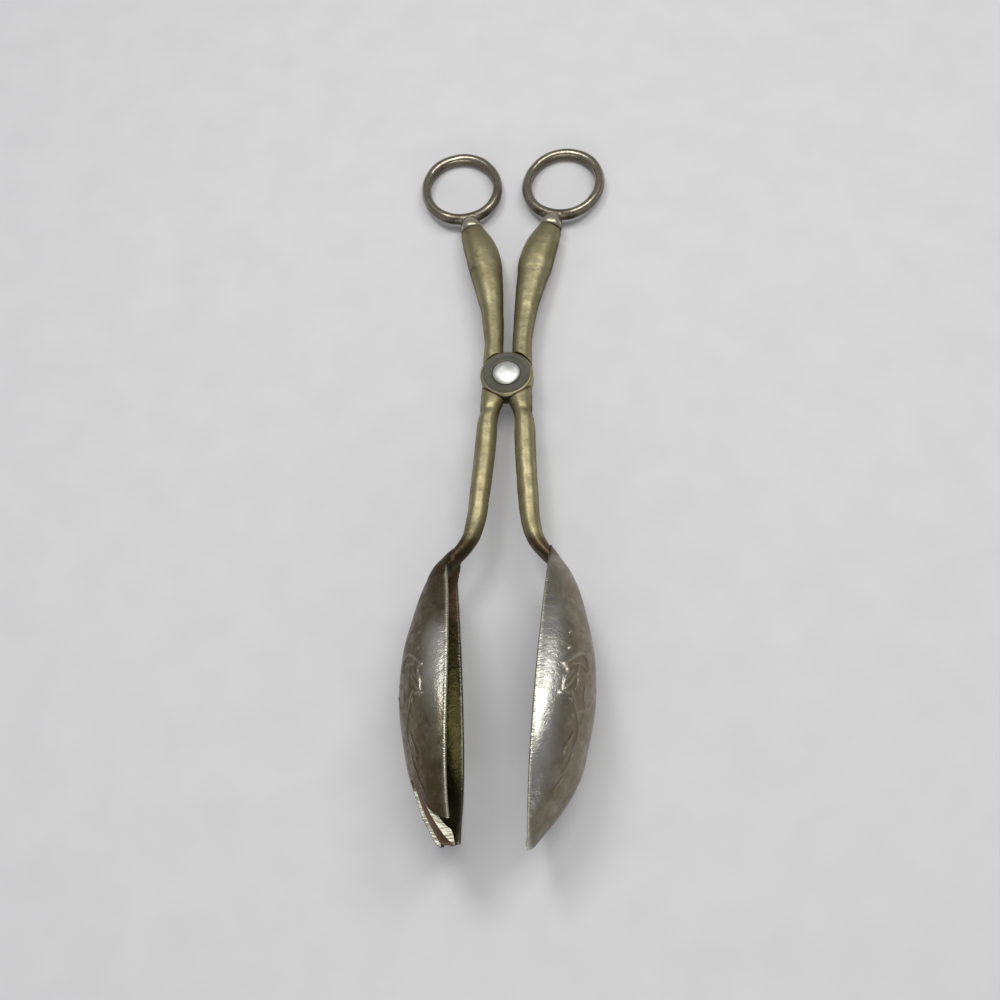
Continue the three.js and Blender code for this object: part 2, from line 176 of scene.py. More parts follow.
# Columns: place along the bowl, half width, depth, roundness of the section
BOWL_SHARES = np.array([
    [0, 0.15, 0.04, 2], [0.04, 0.24, 0.215, 2], [0.09, 0.385, 0.42, 2], [0.16, 0.535, 0.6, 2],
    [0.26, 0.7, 0.765, 2], [0.38, 0.858, 0.925, 2], [0.5, 0.957, 0.99, 1.95],
    [0.6, 0.995, 0.98, 1.9], [0.7, 0.985, 0.905, 1.85], [0.78, 0.915, 0.82, 1.8],
    [0.85, 0.79, 0.665, 1.75], [0.91, 0.64, 0.47, 1.7], [0.96, 0.455, 0.245, 1.7],
    [0.985, 0.325, 0.13, 1.75], [1, 0.16, 0.05, 2],
])
FORK_START_SHARES = np.array([[0, 0.06, 0.03, 2], [0.04, 0.19, 0.19, 2]])
FORK_END_SHARES = np.array([
    [0.78, 0.915, 0.82, 1.8], [0.85, 0.79, 0.7, 1.8], [0.91, 0.64, 0.59, 1.85],
    [0.96, 0.54, 0.455, 1.9], [1, 0.475, 0.335, 2],
])
FORK_MIDDLE = (BOWL_SHARES[:, 0] > 0.04) & (BOWL_SHARES[:, 0] < 0.78)
FORK_SHARES = np.concatenate([FORK_START_SHARES, BOWL_SHARES[FORK_MIDDLE], FORK_END_SHARES])
# Columns: place along the tongue, half width, thickness
TONGUE_SHARES = np.array([
    [0, 0.62, 1], [0.25, 0.8, 1], [0.5, 0.97, 0.86], [0.75, 1, 0.66], [0.9, 0.86, 0.5],
    [1, 0.55, 0.38],
])
# Columns: radius and height of the collar's outline, from its foot up
COLLAR_SHARES = np.array([
    [0.84, 0], [0.96, 0.12], [1, 0.3], [0.97, 0.48], [0.88, 0.66], [0.76, 0.84], [0.66, 1],
])

# How far the near rim of the fork is worn back: place along the bowl, share of WORN_BACK
WORN_BACK = 3.6
WORN_SHARES = np.array([
    [0, 0.62], [0.05, 0.7], [0.1, 0.47], [0.2, 0.16], [0.32, 0], [0.45, -0.1], [0.6, -0.06],
    [0.75, 0.06], [0.86, 0.16], [0.93, 0.1], [1, -0.3],
])
SPOON_FORM = {"rows": BOWL_SHARES, "lean": SPOON_RIM_LEAN, "worn": 0}
FORK_FORM = {"rows": FORK_SHARES, "lean": FORK_RIM_LEAN, "worn": WORN_BACK}

# ---------------------------------------------------------------- frame of the tongs

MM = 0.001
hinge = frame["record"]["behaviour"]["joints"][0]
PIVOT = np.array(hinge["pos_m"], dtype=float)
W_AXIS = np.array(hinge["axis"], dtype=float)
U_AXIS = np.array([1.0, 0.0, 0.0])
V_AXIS = np.cross(W_AXIS, U_AXIS)
TONGS_AXES = np.array([U_AXIS, V_AXIS, W_AXIS])
HALF_TURN = np.array([-1.0, 1.0, -1.0])


def to_row(points):
    """Points of the tongs' frame, mm, as points of the row frame, m."""
    return PIVOT + MM * (np.asarray(points, dtype=float) @ TONGS_AXES)


# ---------------------------------------------------------------- curves and noise

def column(rows, index, place):
    """A table's column read along its first one, on a smooth curve through its rows."""
    place = np.asarray(place, dtype=float)
    spots = rows[:, 0]
    values = rows[:, index]
    last = len(rows) - 1
    i = np.clip(np.searchsorted(spots, place, side="left") - 1, 0, last - 1)
    low = np.maximum(np.arange(len(rows)) - 1, 0)
    high = np.minimum(np.arange(len(rows)) + 1, last)
    slope = (values[high] - values[low]) / (spots[high] - spots[low])
    step = spots[i + 1] - spots[i]
    s = np.clip((place - spots[i]) / step, 0, 1)
    start = values[i] * (1 + 2 * s) * (1 - s) ** 2 + slope[i] * step * s * (1 - s) ** 2
    end = values[i + 1] * (3 - 2 * s) * s ** 2 + slope[i + 1] * step * (s - 1) * s ** 2
    return start + end


def smoothstep(low, high, x):
    t = np.clip((np.asarray(x, dtype=float) - low) / (high - low), 0, 1)
    return t * t * (3 - 2 * t)


def ripple(points, wavelength, seed, waves=9):
    """Smooth noise between about -1 and 1: a sum of waves in seeded directions."""
    rng = np.random.default_rng(seed)
    total = np.zeros(len(points))
    for _ in range(waves):
        direction = rng.normal(size=3)
        direction /= np.linalg.norm(direction)
        length = wavelength * rng.uniform(0.7, 1.5)
        total += np.sin(points @ direction * (2 * math.pi / length) + rng.uniform(0, 2 * math.pi))
    return total / math.sqrt(waves)


def unevenness(points, ripples, seed):
    """A broad ripple and a fine one, each given as its height and wavelength."""
    (broad, broad_wave), (fine, fine_wave) = ripples
    return broad * ripple(points, broad_wave, seed) + fine * ripple(points, fine_wave, seed + 1)


# ---------------------------------------------------------------- meshes

def outward(points, faces):
    """The faces turned so that a closed mesh's normals point out of it."""
    fans = np.array([(face[0], a, b) for face in faces for a, b in zip(face[1:-1], face[2:])])
    first, second, third = points[fans].transpose(1, 0, 2)
    volume = (first * np.cross(second, third)).sum()
    return faces if volume > 0 else [list(reversed(face)) for face in faces]


def new_object(name, points, faces, closed=True):
    points = np.asarray(points, dtype=float)
    if closed:
        faces = outward(points, faces)
    mesh = bpy.data.meshes.new(name)
    mesh.from_pydata(points.tolist(), [], [list(face) for face in faces])
    mesh.validate()
    obj = bpy.data.objects.new(name, mesh)
    bpy.context.scene.collection.objects.link(obj)
    return obj


def points_of(obj):
    points = np.empty(len(obj.data.vertices) * 3)
    obj.data.vertices.foreach_get("co", points)
    return points.reshape(-1, 3)


def normals_of(obj):
    normals = np.empty(len(obj.data.vertices) * 3, dtype=np.float32)
    obj.data.vertex_normals.foreach_get("vector", normals)
    return normals.reshape(-1, 3).astype(float)


def set_points(obj, points):
    obj.data.vertices.foreach_set("co", np.asarray(points, dtype=np.float32).ravel())
    obj.data.update()


def bake(obj):
    """The object's modifiers are worked into its mesh."""
    depsgraph = bpy.context.evaluated_depsgraph_get()
    mesh = bpy.data.meshes.new_from_object(obj.evaluated_get(depsgraph))
    old = obj.data
    obj.modifiers.clear()
    obj.data = mesh
    bpy.data.meshes.remove(old)


def combine(obj, other, operation):
    """A cut or a join with another closed mesh, which is then removed."""
    modifier = obj.modifiers.new("combine", "BOOLEAN")
    modifier.operation = operation
    modifier.solver = "MANIFOLD"
    modifier.object = other
    bake(obj)
    remove(other)


def remove(obj):
    mesh = obj.data
    bpy.data.objects.remove(obj)
    bpy.data.meshes.remove(mesh)


def cast(name, shells, voxel, rounds):
    """Closed shells run together into one skin, with soft fillets where they meet."""
    points = []
    faces = []
    done = 0
    for shell_points, shell_faces in shells:
        points.append(shell_points)
        faces += [[i + done for i in face] for face in shell_faces]
        done += len(shell_points)
    obj = new_object(name, np.concatenate(points), faces)
    remesh = obj.modifiers.new("remesh", "REMESH")
    remesh.mode = "VOXEL"
    remesh.voxel_size = voxel
    smooth = obj.modifiers.new("smooth", "SMOOTH")
    smooth.factor = 0.5
    smooth.iterations = rounds
    bake(obj)
    return obj


def grid_faces(rings, around, looped=False):
    """Quads of a stack of rings of points; a looped stack joins its last ring to its first."""
    faces = []
    for i in range(rings if looped else rings - 1):
        n = (i + 1) % rings
        for j in range(around):
            k = (j + 1) % around
            faces.append((i * around + j, i * around + k, n * around + k, n * around + j))
    return faces


def looped_faces(rings, around):
    """Quads of a stack of rings that is a ring itself, turned to face out of it."""
    return [(a, d, c, b) for a, b, c, d in grid_faces(rings, around, True)]


def rings_shell(rings):
    """A closed shell through a stack of rings of points, with a flat cap at each end."""
    stations, around = rings.shape[:2]
    faces = grid_faces(stations, around)
    faces.append(tuple(reversed(range(around))))
    faces.append(tuple(range((stations - 1) * around, stations * around)))
    return rings.reshape(-1, 3), faces


def full_turn(steps):
    return np.linspace(0, 2 * math.pi, steps, endpoint=False)


def lathe_shell(outline, sides):
    """A closed ring turned about w, from a closed outline of radius and height."""
    radius, height = np.array(outline, dtype=float).T
    angle = full_turn(sides)
    rings = np.stack([
        np.outer(np.cos(angle), radius), np.outer(np.sin(angle), radius),
        np.broadcast_to(height, (sides, len(height))),
    ], axis=2)
    return rings.reshape(-1, 3), looped_faces(sides, len(radius))


def solid_lathe(outline, sides):
    """A closed body turned about w, from an outline whose ends lie on the axis."""
    outline = np.array(outline, dtype=float)
    radius, height = outline[1:-1].T
    angle = full_turn(sides)
    rings = np.stack([
        np.outer(radius, np.cos(angle)), np.outer(radius, np.sin(angle)),
        np.broadcast_to(height[:, None], (len(height), sides)),
    ], axis=2)
    ends = [[0, 0, outline[0, 1]], [0, 0, outline[-1, 1]]]
    bottom = len(height) * sides
    last = bottom - sides
    faces = grid_faces(len(height), sides)
    for j in range(sides):
        k = (j + 1) % sides
        faces.append((bottom, k, j))
        faces.append((bottom + 1, last + j, last + k))
    return np.concatenate([rings.reshape(-1, 3), ends]), faces


def cylinder(radius, low, high, sides):
    return solid_lathe([(0, low), (radius, low), (radius, high), (0, high)], sides)


def set_attribute(obj, name, values):
    attribute = obj.data.attributes.new(name, "FLOAT", "POINT")
    attribute.data.foreach_set("value", np.asarray(values, dtype=np.float32))


# ---------------------------------------------------------------- forms

def cast_bar(rows, length, spread, width, depth, steps):
    """A bar of rounded section whose centre line bends in the plane of the tongs."""
    start, end = rows[0, 0], rows[-1, 0]
    place = np.linspace(start, end, steps + 1)
    nudge = (end - start) / 24

    def centre(at):
        return np.stack([spread * column(rows, 1, at), length * at], axis=1)

    run = centre(np.minimum(place + nudge, end)) - centre(np.maximum(place - nudge, start))
    run /= np.linalg.norm(run, axis=1)[:, None]
    middle = centre(place)
    angle = full_turn(BAR_SIDES)
    across = np.outer(width * column(rows, 2, place) / 2, np.sin(angle))
    rise = np.outer(depth * column(rows, 3, place) / 2, np.cos(angle))
    rings = np.stack([
        middle[:, :1] + run[:, 1:] * across, middle[:, 1:] - run[:, :1] * across, rise,
    ], axis=2)
    return rings_shell(rings)


# The most of a shallow section's depth that its rim may take up
RIM_SHARE = 0.6
# From here to its tip the fork's reach differs from side to side
SKEW_START = 0.8


def bowl_section(form, along, inset):
    """A bowl's half width, depth, power of section, rim line and wear at each place along it."""
    rows = form["rows"]
    half = BOWL_HALF_WIDTH * column(rows, 1, along) - inset
    depth = np.maximum(BOWL_DEPTH * column(rows, 2, along) - inset, 0)
    power = 2 / column(rows, 3, along)
    rim = BOWL_RIM_START - form["lean"] * along
    worn = np.minimum(form["worn"] * column(WORN_SHARES, 1, along), 0.8 * depth)
    return half, depth, power, rim, worn


def skin_angles(form, along, around, inset, lift):
    """Angles from the keel for each place along and around, ending lift short of the rim."""
    _, depth, power, _, _ = bowl_section(form, along, inset)
    left = np.minimum(lift, RIM_SHARE * depth) / np.maximum(depth, 1e-6)
    return np.outer(np.arccos(np.clip(left, 0, 1) ** (1 / power)), around)


def bowl_skin(form, along, around, inset, lift):
    """A bowl's skin as a grid of u, v, w along and around it, ending lift short of the rim."""
    half, depth, power, rim, worn = [part[:, None] for part in bowl_section(form, along, inset)]
    angle = skin_angles(form, along, around, inset, lift)
    side = np.sign(angle) * np.abs(np.sin(angle)) ** power
    bulge = np.maximum(np.cos(angle), 0) ** power
    u = rim + depth * bulge
    u = u + worn * (1 - bulge) * np.clip(0.5 - 0.9 * around, 0, 1)
    v = np.broadcast_to((-BOWL_START - BOWL_LENGTH * along)[:, None], u.shape)
    if form["worn"]:
        skew = np.where(around < 0, NEAR_REACH, FAR_SHORT) * around
        v = v + np.outer(smoothstep(SKEW_START, 1, along), skew)
    return np.stack([u, v, half * side], axis=2)


def blend_collar(form):
    """The end of the neck spread over the bowl: a shell that sinks under the bowl's skin."""
    along = np.linspace(0, 0.2, 48)
    around = np.linspace(-0.97, 0.97, 41)
    proud = 0.35 - 1.0 * smoothstep(0.02, 0.19, along)
    start = 1 - smoothstep(0.02, 0.12, along)
    outer = bowl_skin(form, along, around, -proud, 0)
    inner = bowl_skin(form, along, around, BOWL_SHEET * 0.55, 0)
    wrap = 1.2 * np.outer(start, np.abs(around) ** 2)
    outer[..., 0] -= wrap
    inner[..., 0] -= wrap + 1.1 * start[:, None]
    return rings_shell(np.concatenate([outer, inner[:, ::-1]], axis=1))


def tongue_shell():
    """The flat end of the shank that lies in the bowl, made for both bowls to the spoon's rows."""
    place = np.linspace(0, 1, 40)
    across = np.linspace(-1, 1, 17)
    along = place * TONGUE_LENGTH / BOWL_LENGTH
    half = TONGUE_HALF_WIDTH * column(TONGUE_SHARES, 1, place)
    thick = TONGUE_THICKNESS * column(TONGUE_SHARES, 2, place)
    inset = BOWL_SHEET + TONGUE_CLEARANCE
    channel = np.maximum(BOWL_HALF_WIDTH * column(BOWL_SHARES, 1, along) - inset, half)
    depth = (BOWL_DEPTH * column(BOWL_SHARES, 2, along) - inset)[:, None]
    rim = (BOWL_RIM_START - SPOON_RIM_LEAN * along)[:, None]
    side = np.outer(half, across)
    curve = np.sqrt(np.maximum(1 - (side / channel[:, None]) ** 2, 0))
    outer = rim + depth * np.where(depth > 0, curve, 1)
    crown = np.sqrt(1 - across ** 2) * 0.75 + 0.25
    v = np.broadcast_to((-BOWL_START - BOWL_LENGTH * along)[:, None], side.shape)
    low = np.stack([outer - np.outer(thick, crown), v, side], axis=2)
    high = np.stack([outer, v, side], axis=2)
    return rings_shell(np.concatenate([high, low[:, ::-1]], axis=1))


# ---------------------------------------------------------------- arms

def disc_outline():
    """Section of the lap disc, out from its bore along the bottom and back over the top."""
    flat = DISC_RADIUS - DISC_EDGE
    seat = DISC_TOP - SPOT_FACE_DEPTH
    edge = [
        (flat + DISC_EDGE * math.cos(a), DISC_TOP - DISC_EDGE + DISC_EDGE * math.sin(a))
        for a in np.linspace(0, math.pi / 2, 9)
    ]
    return [
        (BORE_RADIUS, DISC_BOTTOM + 0.15), (BORE_RADIUS + 0.15, DISC_BOTTOM),
        (DISC_RADIUS - 0.25, DISC_BOTTOM), (DISC_RADIUS, DISC_BOTTOM + 0.25), *edge,
        (flat - 0.25, DISC_TOP - 0.04), (flat - 0.5, DISC_TOP - 0.09),
        (7, DISC_TOP - 0.1), (6.2, DISC_TOP - 0.08),
        (SPOT_FACE_RADIUS + 0.35, DISC_TOP - 0.07), (SPOT_FACE_RADIUS + 0.1, DISC_TOP - 0.13),
        (SPOT_FACE_RADIUS, seat), (BORE_RADIUS + 0.1, seat), (BORE_RADIUS, seat - 0.1),
    ]


def arm_swell(points, seed):
    """How far an arm's skin stands out: unevenness, the handle's step, the waist by the disc."""
    u, v, w = points.T
    swell = unevenness(points, ARM_RIPPLE, seed)
    edge = HANDLE_STEP_PLACE + 0.9 * np.sin(u * 0.7 + seed) + 0.6 * np.sin(w * 0.9 + 2 * seed)
    step = 0.1 + 0.1 * np.sin(2.1 * np.arctan2(w, u + 9) + seed)
    swell += step * smoothstep(edge - 1.1, edge + 1.1, v) * (1 - smoothstep(51, 64, v)) - 0.08
    swell -= 0.3 * np.exp(-((v + 13.9 + 0.3 * (u - 5)) / 1.5) ** 2)
    in_bowl = smoothstep(-66, -70, v)
    return swell * (1 - in_bowl)


def arm_piece(name, form, seed):
    shells = [
        cast_bar(HANDLE_SHARES, HANDLE_LENGTH, -HANDLE_SPREAD, HANDLE_WIDTH, HANDLE_DEPTH, 120),
        cast_bar(SHANK_SHARES, -SHANK_LENGTH, SHANK_SPREAD, SHANK_WIDTH, SHANK_DEPTH, 140),
        cylinder(DISC_RADIUS - 0.15, 0, 2.5, TURNED_SIDES),
        tongue_shell(),
    ]
    if form["worn"]:
        shells.append(blend_collar(form))
    obj = cast(name, shells, ARM_VOXEL, ARM_ROUNDS)
    points = points_of(obj)
    set_points(obj, points + normals_of(obj) * arm_swell(points, seed)[:, None])
    # Room for the other half's disc, for this disc's own top and for its bore
    for radius, low, high, sides in (
        (DISC_RADIUS + SHOULDER_CLEARANCE, -CUTTER_REACH, DISC_BOTTOM, CUTTER_SIDES),
        (DISC_RADIUS + 0.1, 2.2, CUTTER_REACH, CUTTER_SIDES),
        (BORE_RADIUS + 0.4, -CUTTER_REACH, CUTTER_REACH, TURNED_SIDES),
    ):
        cutter = new_object("cutter", *cylinder(radius, low, high, sides))
        combine(obj, cutter, "DIFFERENCE")
    disc = new_object("disc", *lathe_shell(disc_outline(), DISC_SIDES))
    combine(obj, disc, "UNION")
    return obj


def arm_attributes(obj):
    points = points_of(obj)
    normals = normals_of(obj)
    u, v, w = points.T
    flank = 1 - np.abs(normals[:, 2])
    radius = np.hypot(u, v)
    on_disc = (radius < DISC_RADIUS + 0.02) & (w > DISC_BOTTOM - 0.05)
    # Painted shade on the sides: the more a point faces sideways, the darker it is painted
    set_attribute(obj, "flank", smoothstep(0.25, 1.0, flank) * ~on_disc)
    set_attribute(obj, "disc", on_disc & (radius < DISC_RADIUS - DISC_EDGE * 0.75))
    # Painted shade lies round the disc, on the disc's side wall toward the shank, in the waist and
    # under the shank; darker patches run along the handle's step
    crease = np.exp(-((radius - DISC_RADIUS - 0.15) / 0.45) ** 2) * (v < 6)
    waist = 0.7 * np.exp(-((v + 14.5) / 2.0) ** 2) * smoothstep(0.1, 0.9, flank)
    crease = np.maximum(crease, waist)
    under = smoothstep(0.1, 0.8, -w / 4 - 0.15 + 0.5 * flank) * smoothstep(-52, -62, v)
    patchy = smoothstep(0.2, 0.7, ripple(points, 5, 4))
    band = np.exp(-((v - HANDLE_STEP_PLACE) / 1.1) ** 2) * patchy
    wall = (radius > DISC_RADIUS - 0.3) & (radius < DISC_RADIUS + 0.02)
    wall &= (v < -7) & (w < DISC_TOP - 1)
    grime_and_shade = np.maximum(crease * ~on_disc, wall) + 0.55 * under + 0.4 * band
    set_attribute(obj, "grime_and_shade", np.clip(grime_and_shade, 0, 1))
    # The end of the shank toward the bowl is painted dark brown
    set_attribute(obj, "dark_neck", smoothstep(-61, -65.5, v))
    set_attribute(obj, "polish_and_highlight", np.zeros(len(points)))


# ---------------------------------------------------------------- rings, rivet, burr

def seat_place(points):
    """Points made about the ring's seat, moved to the end of the handle."""
    c, s = math.cos(RING_LEAN), math.sin(RING_LEAN)
    x, y, z = points.T
    return np.stack([c * x - s * y - HANDLE_SPREAD, s * x + c * y + HANDLE_LENGTH, z], axis=1)


def along_v(shell):
    """A turned shell with its axis laid along v."""
    points, faces = shell
    return points[:, [0, 2, 1]], [tuple(reversed(face)) for face in faces]


def ring_piece(name, seed):
    steps, sides = 144, 32
    turn = full_turn(steps)[:, None]
    roll = full_turn(sides)
    out = RING_WIRE / 2 * np.cos(roll) * (1 + 0.05 * np.sin(turn * 2 + seed))
    rise = RING_DEPTH / 2 * np.sign(np.sin(roll)) * np.abs(np.sin(roll)) ** 0.92
    hoop = np.stack([
        (RING_HALF_WIDTH + out) * np.cos(turn),
        (RING_HALF_LENGTH + out) * np.sin(turn) + RING_REACH,
        np.broadcast_to(rise, out.shape),
    ], axis=2)
    heights = np.linspace(0, 1, 40)[1:]
    radii = np.interp(heights, COLLAR_SHARES[:, 1], COLLAR_SHARES[:, 0])
    outline = [(0, 0), (0.8 * COLLAR_RADIUS, 0)]
    outline += [(r * COLLAR_RADIUS, h * COLLAR_LENGTH) for r, h in zip(radii, heights)]
    outline.append((0, COLLAR_LENGTH))
    collar = along_v(solid_lathe(outline, 64))
    peg = along_v(cylinder(2, -6, 3, 40))
    shells = [(hoop.reshape(-1, 3), looped_faces(steps, sides)), collar, peg]
    obj = cast(name, shells, RING_VOXEL, RING_ROUNDS)
    points = points_of(obj)
    swell = unevenness(points, RING_RIPPLE, seed) - 0.11
    set_points(obj, seat_place(points + normals_of(obj) * swell[:, None]))
    return obj


def ring_attributes(obj):
    points = points_of(obj)
    flank = 1 - np.abs(normals_of(obj)[:, 2])
    c, s = math.cos(RING_LEAN), math.sin(RING_LEAN)
    x = points[:, 0] + HANDLE_SPREAD
    y = points[:, 1] - HANDLE_LENGTH
    across, up = c * x + s * y, -s * x + c * y
    radius = np.hypot(across / RING_HALF_WIDTH, (up - RING_REACH) / RING_HALF_LENGTH)
    # Painted shade on the sides of hoop and collar, by how far each point faces sideways
    set_attribute(obj, "flank", smoothstep(0.3, 1.0, flank))
    # Darker where the collar meets the hoop and where it meets the handle
    foot = np.exp(-((up - 7.3) / 1.6) ** 2) + np.exp(-(up / 0.9) ** 2)
    set_attribute(obj, "grime_and_shade", np.clip(0.8 * foot * (radius > 0.6), 0, 1))
    # The collar is painted lighter, as worn polish and as a painted highlight
    ball = smoothstep(-0.5, 0.6, up) * smoothstep(7.4, 6.2, up)
    ball = ball * smoothstep(6.5, 4.5, np.abs(across))
    set_attribute(obj, "polish_and_highlight", 0.9 * ball)
    for blank in ("disc", "dark_neck"):
        set_attribute(obj, blank, np.zeros(len(points)))


def rivet_piece(name):
    turn = np.linspace(0, math.pi / 2, 22)
    foot = RIVET_SEAT + 0.1
    crown = RIVET_SEAT + RIVET_HEAD_HEIGHT
    head = [
        (RIVET_HEAD_RADIUS * math.cos(a) ** 0.9, foot + (crown - foot) * math.sin(a) ** 1.05)
        for a in turn[:-1]
    ]
    tail_seat = BURR_TOP - BURR_THICKNESS - 0.3
    tail = [
        (RIVET_TAIL_RADIUS * math.cos(a) ** 0.8, tail_seat - RIVET_TAIL_HEIGHT * math.sin(a))
        for a in turn[::-1][1:]
    ]
    outline = [
        (0, tail_seat - RIVET_TAIL_HEIGHT), *tail, (RIVET_RADIUS, tail_seat),
        (RIVET_RADIUS, RIVET_SEAT), (RIVET_HEAD_RADIUS - 0.1, RIVET_SEAT), *head, (0, crown),
    ]
    points, faces = solid_lathe(outline, TURNED_SIDES)
    u, v, w = points.T
    on_head = smoothstep(foot, RIVET_SEAT + 0.8, w)
    points[:, 2] += on_head * (0.05 * np.sin(u * 1.3 + 0.5) * np.cos(v * 1.1) - 0.05)
    return new_object(name, points, faces)


def burr_piece(name):
    low, high, rim = BURR_TOP - BURR_THICKNESS, BURR_TOP, RIVET_HEAD_RADIUS
    soft = 0.22
    bevel = 0.3 * soft
    outline = [
        (BORE_RADIUS, low + 0.1), (BORE_RADIUS + 0.1, low), (rim - soft, low),
        (rim - bevel, low + bevel), (rim, low + soft), (rim, high - soft),
        (rim - bevel, high - bevel), (rim - soft, high), (BORE_RADIUS + 0.1, high),
        (BORE_RADIUS, high - 0.1),
    ]
    return new_object(name, *lathe_shell(outline, TURNED_SIDES))


# ---------------------------------------------------------------- bowls

def smooth_line(places):
    """A line of places with short steps, on a smooth curve through them."""
    places = np.array(places, dtype=float)
    knots = np.linspace(0, 1, len(places))
    steps = np.linspace(0, 1, 12 * len(places))
    rows = np.column_stack([knots, places])
    return np.column_stack([column(rows, 1, steps), column(rows, 2, steps)])


def flank_relief(grid, angles):
    """Height of the hammered skin and of the sprig on each of its flanks."""
    skin = unevenness(grid.reshape(-1, 3), BOWL_RIPPLE, BOWL_RIPPLE_SEED).reshape(angles.shape)
    away = -grid[..., 1]
    arc = np.abs(angles) * SPRIG_ARC
    raised = np.zeros(angles.shape)
    for width, rise, places in SPRIG:
        line = smooth_line(places) * np.array([1, math.radians(SPRIG_ARC)])
        low, high = line.min(axis=0) - 2, line.max(axis=0) + 2
        near = (away > low[0]) & (away < high[0]) & (arc > low[1]) & (arc < high[1])
        gap = np.hypot(away[near][:, None] - line[:, 0], arc[near][:, None] - line[:, 1])
        taper = 1 - 0.45 * gap.argmin(axis=1) / len(line)
        profile = rise * np.exp(-(gap.min(axis=1) / (0.6 * width * taper)) ** 2)
        raised[near] = np.maximum(raised[near], profile)
    for distance, degrees, radius in BERRIES:
        gap = np.hypot(away - distance, arc - math.radians(degrees) * SPRIG_ARC)
        raised = np.maximum(raised, BERRY_RISE * np.exp(-(gap / radius) ** 2))
    return skin + raised


def grid_normals(grid):
    """Unit normals of a grid of points, away from the middle of the bowl."""
    normal = np.cross(np.gradient(grid, axis=0), np.gradient(grid, axis=1))
    normal /= np.maximum(np.linalg.norm(normal, axis=2), 1e-9)[..., None]
    return normal * np.sign(normal[len(grid) // 2, grid.shape[1] // 2, 0])


def bowl_sheet(name, form):
    """A bowl as one closed sheet with a rounded rim, its outside raised by the relief."""
    along = 1 - (1 - np.linspace(0, 1, BOWL_STATIONS)) ** 1.12
    around = np.linspace(-1, 1, BOWL_AROUND)
    to_end = np.clip(BOWL_LENGTH * (1 - along) / BOWL_END_ROUND, 0, 1)
    pinch = BOWL_SHEET * 0.36 * (1 - np.sqrt(1 - (1 - to_end) ** 2))
    outer = bowl_skin(form, along, around, pinch, RIM_ROUND)
    inner = bowl_skin(form, along, around, BOWL_SHEET - pinch, RIM_ROUND)
    depth = BOWL_DEPTH * column(form["rows"], 2, along)
    room = RELIEF_ROOM * np.clip((depth - 2) / 4, 0, 1)[:, None]
    raised = flank_relief(outer, skin_angles(form, along, around, pinch, RIM_ROUND))
    outer = outer + grid_normals(outer) * (raised - room)[..., None]
    # The rim is a strip of points that dips from one skin to the other
    strip = np.linspace(0, 1, 7)[1:-1]
    share = ((1 - np.cos(math.pi * strip)) / 2)[None, :, None]
    dip = np.outer(np.minimum(RIM_ROUND, RIM_SHARE * depth), np.sin(math.pi * strip))

    def rim_strip(start, end):
        step = start[:, None, :] * (1 - share) + end[:, None, :] * share
        step[..., 0] -= dip
        return step

    right = rim_strip(outer[:, -1], inner[:, -1])
    left = rim_strip(inner[:, 0], outer[:, 0])
    rings = np.concatenate([outer, right, inner[:, ::-1], left], axis=1)
    loop = rings.shape[1]
    faces = grid_faces(BOWL_STATIONS, loop)
    # Each end is capped by quads from the outer skin to the inner one, and by one face a strip
    mate = 2 * BOWL_AROUND + len(strip) - 1
    wide = len(strip) + 2
    for base, turn in ((0, False), ((BOWL_STATIONS - 1) * loop, True)):
        caps = [
            [base + j, base + mate - j, base + mate - j - 1, base + j + 1]
            for j in range(BOWL_AROUND - 1)
        ]
        caps.append([base + BOWL_AROUND - 1 + n for n in reversed(range(wide))])
        caps.append([base + (mate + n) % loop for n in reversed(range(wide))])
        faces += [list(reversed(cap)) if turn else cap for cap in caps]
    return new_object(name, rings.reshape(-1, 3), faces)


def fork_cutter(side, outline):
    """A cutter through the sheet, from offsets from the keel and heights above the tip."""
    tip = -BOWL_START - BOWL_LENGTH
    rings = [[(u, tip + rise, side * offset) for offset, rise in outline] for u in (0, 40)]
    return new_object("cutter", *rings_shell(np.array(rings, dtype=float)))


def slot_outline():
    reach = SLOT_WIDTH / 2
    root = [
        (SLOT_OFFSET + reach * math.cos(a), SLOT_LENGTH - SLOT_ROOT * (1 - math.sin(a)))
        for a in np.linspace(0, math.pi, 13)
    ]
    return [(SLOT_OFFSET + reach, -CUT_OVERRUN), *root, (SLOT_OFFSET - reach, -CUT_OVERRUN)]


def notch_outline():
    inner, (outer, low) = NOTCH[0][0], NOTCH[-1]
    outer += CUT_OVERRUN
    return [(inner, -CUT_OVERRUN), *NOTCH, (outer, low), (outer, -CUT_OVERRUN)]


def fork_piece(name):
    obj = bowl_sheet(name, FORK_FORM)
    for side in (-1, 1):
        combine(obj, fork_cutter(side, slot_outline()), "DIFFERENCE")
    combine(obj, fork_cutter(-1, notch_outline()), "DIFFERENCE")
    return obj


def cut_faces(v, w):
    """1 on the walls of the fork's slots and on the inner wall of its notch."""
    on_wall = np.abs(w + NOTCH[0][0]) < 0.02
    for face in (SLOT_OFFSET - SLOT_WIDTH / 2, SLOT_OFFSET + SLOT_WIDTH / 2):
        on_wall |= np.abs(np.abs(w) - face) < 0.02
    return on_wall & (v < -BOWL_START - BOWL_LENGTH + SLOT_LENGTH)


